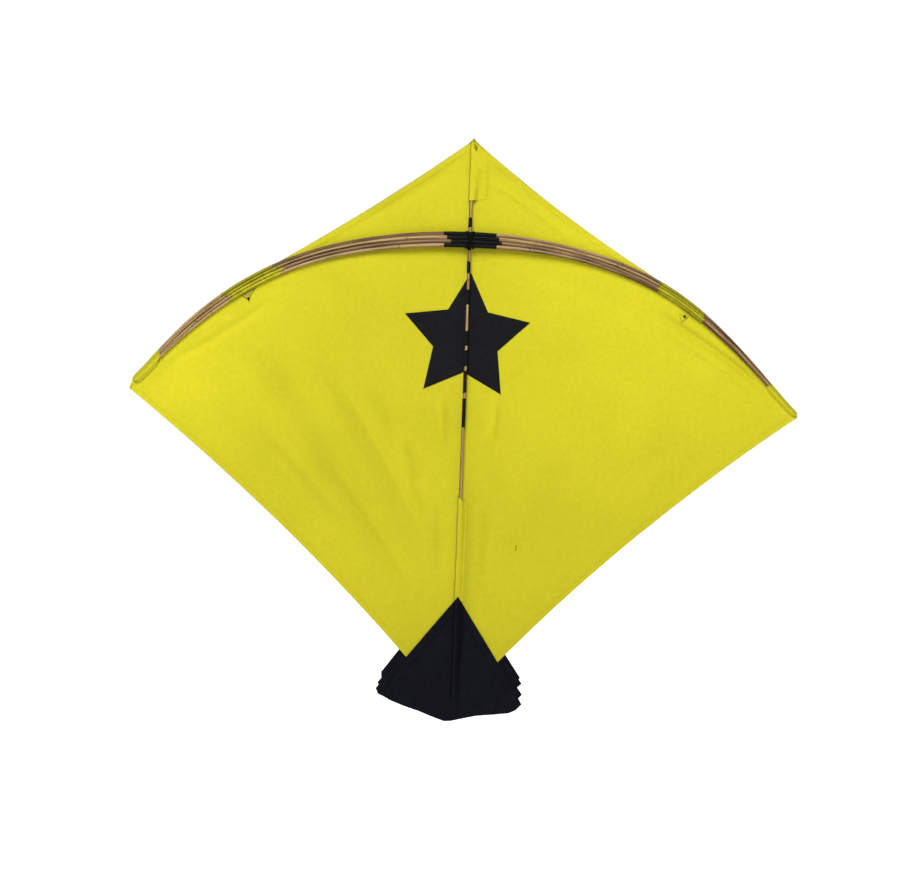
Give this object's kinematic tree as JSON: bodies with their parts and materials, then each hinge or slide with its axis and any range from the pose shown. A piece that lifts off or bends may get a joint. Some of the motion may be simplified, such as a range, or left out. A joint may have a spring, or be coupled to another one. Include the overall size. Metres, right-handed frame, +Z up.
{
  "type": "bowed fighter kite",
  "caption": "Flat bowed fighter kite with a cloth sail, bamboo spine, bundled bamboo bow, star patch and a fan tail; its wings and tail flex.",
  "frame": {"origin": "where the bow crosses the spine, in the sail's plane, which is where the bridle ties on", "axes": "+Z up along the spine to the nose; +X to the right seen from the frame side; +Y out of the smooth side of the sail, which faces the wind and the flyer; -Y the frame side with spine, bow and star"},
  "size_m": [0.6698, 0.0129, 0.5838],
  "materials": {
    "sail_cloth": "thin plain-weave yellow cloth, matte, lightly creased",
    "sleeve_cloth": "doubled yellow cloth, stitched, matte",
    "black_cloth": "thin plain-weave blue-black cloth, faint sheen",
    "bamboo": "split bamboo, satin skin with long grain, darker at the edges",
    "black_tape": "black binding tape, satin, wound in turns",
    "black_thread": "waxed black twine"
  },
  "bodies": {
    "root": {"bow_lashing": "black_thread", "bow_strand_centre_1": "bamboo", "bow_strand_centre_2": "bamboo", "bow_strand_centre_3": "bamboo", "bow_strand_centre_4": "bamboo", "centre_sleeve_1": "black_tape", "centre_sleeve_2": "black_tape", "centre_sleeve_3": "black_tape", "centre_sleeve_4": "black_tape", "nose_patch": "sleeve_cloth", "sail_centre": "sail_cloth", "spine": "bamboo", "spine_band_1": "black_tape", "spine_band_2": "black_tape", "spine_band_3": "black_tape", "spine_band_4": "black_tape", "spine_band_5": "black_tape", "spine_band_6": "black_tape", "spine_band_7": "black_tape", "spine_band_8": "black_tape", "spine_cover_lower": "sleeve_cloth", "spine_cover_upper": "sleeve_cloth", "star_patch": "black_cloth", "tail_front_root": "black_cloth", "tail_rear_1_root": "black_cloth", "tail_rear_2_root": "black_cloth", "tail_rear_3_root": "black_cloth"},
    "left_wing": {"bow_strand_left_1": "bamboo", "bow_strand_left_2": "bamboo", "bow_strand_left_3": "bamboo", "bow_strand_left_4": "bamboo", "pocket_sleeve_left_1": "sleeve_cloth", "pocket_sleeve_left_2": "sleeve_cloth", "pocket_sleeve_left_3": "sleeve_cloth", "pocket_sleeve_left_4": "sleeve_cloth", "pocket_tab_left": "sleeve_cloth", "sail_left": "sail_cloth", "tip_pocket_left": "sleeve_cloth"},
    "right_wing": {"bow_strand_right_1": "bamboo", "bow_strand_right_2": "bamboo", "bow_strand_right_3": "bamboo", "bow_strand_right_4": "bamboo", "pocket_sleeve_right_1": "sleeve_cloth", "pocket_sleeve_right_2": "sleeve_cloth", "pocket_sleeve_right_3": "sleeve_cloth", "pocket_sleeve_right_4": "sleeve_cloth", "pocket_tab_right": "sleeve_cloth", "sail_right": "sail_cloth", "tip_pocket_right": "sleeve_cloth"},
    "tail_left": {"tail_front_left": "black_cloth", "tail_rear_1_left": "black_cloth", "tail_rear_2_left": "black_cloth", "tail_rear_3_left": "black_cloth"},
    "tail_right": {"tail_front_right": "black_cloth", "tail_rear_1_right": "black_cloth", "tail_rear_2_right": "black_cloth", "tail_rear_3_right": "black_cloth"}
  },
  "joints": [
    {"name": "left_wing_flex", "type": "hinge", "parent": "root", "child": "left_wing", "pos_m": [-0.07, -0.0055, 0], "axis": [0, 0, 1], "range_deg": [-5, 25], "stiffness_Nm_per_rad": 0.5},
    {"name": "right_wing_flex", "type": "hinge", "parent": "root", "child": "right_wing", "pos_m": [0.07, -0.0055, 0], "axis": [0, 0, -1], "range_deg": [-5, 25], "stiffness_Nm_per_rad": 0.5},
    {"name": "tail_left_flutter", "type": "hinge", "parent": "root", "child": "tail_left", "pos_m": [0, 0, -0.484], "axis": [0.6054, 0, -0.796], "range_deg": [-30, 30], "stiffness_Nm_per_rad": 0.002},
    {"name": "tail_right_flutter", "type": "hinge", "parent": "root", "child": "tail_right", "pos_m": [0, 0, -0.484], "axis": [0.6054, 0, 0.796], "range_deg": [-30, 30], "stiffness_Nm_per_rad": 0.002}
  ]
}
